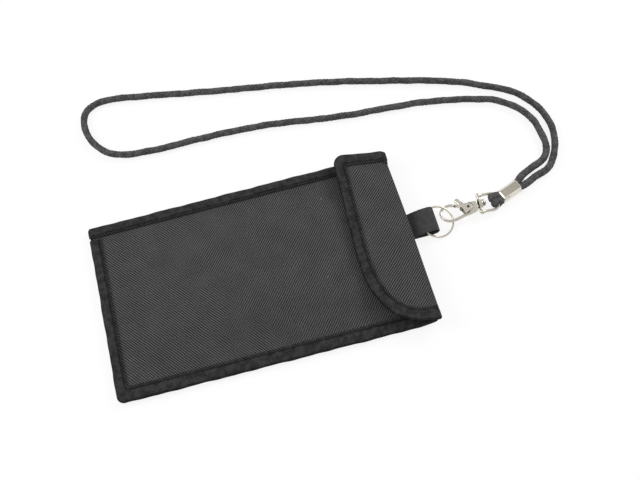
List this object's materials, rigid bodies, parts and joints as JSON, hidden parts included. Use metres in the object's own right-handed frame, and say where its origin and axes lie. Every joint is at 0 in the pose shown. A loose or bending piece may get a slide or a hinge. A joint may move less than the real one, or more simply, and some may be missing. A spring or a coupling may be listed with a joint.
{
  "type": "lanyard pouch",
  "caption": "Flat bound twill pouch with a fold-over flap, hung by a webbing tab, ring and swivel trigger clasp on a braided neck cord.",
  "frame": {"origin": "middle of the pouch's flat back", "axes": "+X along the pouch from its closed end to the fold and the clasp, +Z out of the back panel through the flap"},
  "size_m": [0.2848, 0.1924, 0.0108],
  "materials": {
    "twill": "charcoal twill",
    "binding_tape": "matt black tape",
    "webbing": "black webbing",
    "hook_and_loop": "black hook and loop",
    "braid": "dark grey braided cord",
    "nickel": "nickel plate",
    "spring_steel": "spring steel"
  },
  "bodies": {
    "lanyard": {"neck_cord": "braid", "cord_fold_1": "braid", "cord_fold_2": "braid", "ferrule": "nickel"},
    "eye": {"swivel_eye": "nickel"},
    "clasp": {"clasp_body": "nickel", "swivel_stud": "nickel", "gate_rivet": "nickel", "gate_spring": "spring_steel"},
    "gate": {"gate_lever": "nickel"},
    "link": {"ring": "nickel"},
    "pouch": {"back_panel": "twill", "front_panel": "twill", "edge_binding": "binding_tape", "top_binding": "binding_tape", "mouth_binding": "binding_tape", "loop_patch": "hook_and_loop", "hanging_tab": "webbing", "flap_spine": "twill"},
    "flap": {"flap_panel": "twill", "flap_binding": "binding_tape", "hook_patch": "hook_and_loop"}
  },
  "joints": [
    {"name": "eye_swing", "type": "hinge", "parent": "lanyard", "child": "eye", "pos_m": [0.14379, 0.00631, 0.004], "axis": [0.0819, 0.9966, 0], "range_deg": [-60, 60]},
    {"name": "clasp_swivel", "type": "hinge", "parent": "eye", "child": "clasp", "pos_m": [0.13343, 0.00716, 0.00358], "axis": [0.998, 0.0488, 0.0401], "continuous": true},
    {"name": "gate_open", "type": "hinge", "parent": "clasp", "child": "gate", "pos_m": [0.12606, 0.00651, 0.00335], "axis": [-0.0494, 0.2057, 0.9774], "range_deg": [0, 12], "stiffness_Nm_per_rad": 0.02, "springref_deg": -11.46},
    {"name": "ring_swing", "type": "hinge", "parent": "clasp", "child": "link", "pos_m": [0.11408, 0.00573, 0.00279], "axis": [0.3263, -0.9216, -0.2104], "range_deg": [-30, 30]},
    {"name": "pouch_swing", "type": "hinge", "parent": "link", "child": "pouch", "pos_m": [0.09976, 0.00481, 0.00375], "axis": [-0.2563, -0.9516, -0.1698], "range_deg": [-12, 12]},
    {"name": "flap_fold", "type": "hinge", "parent": "pouch", "child": "flap", "pos_m": [0.0895, 0, 0.0095], "axis": [0, 1, 0], "range_deg": [0, 120]}
  ]
}
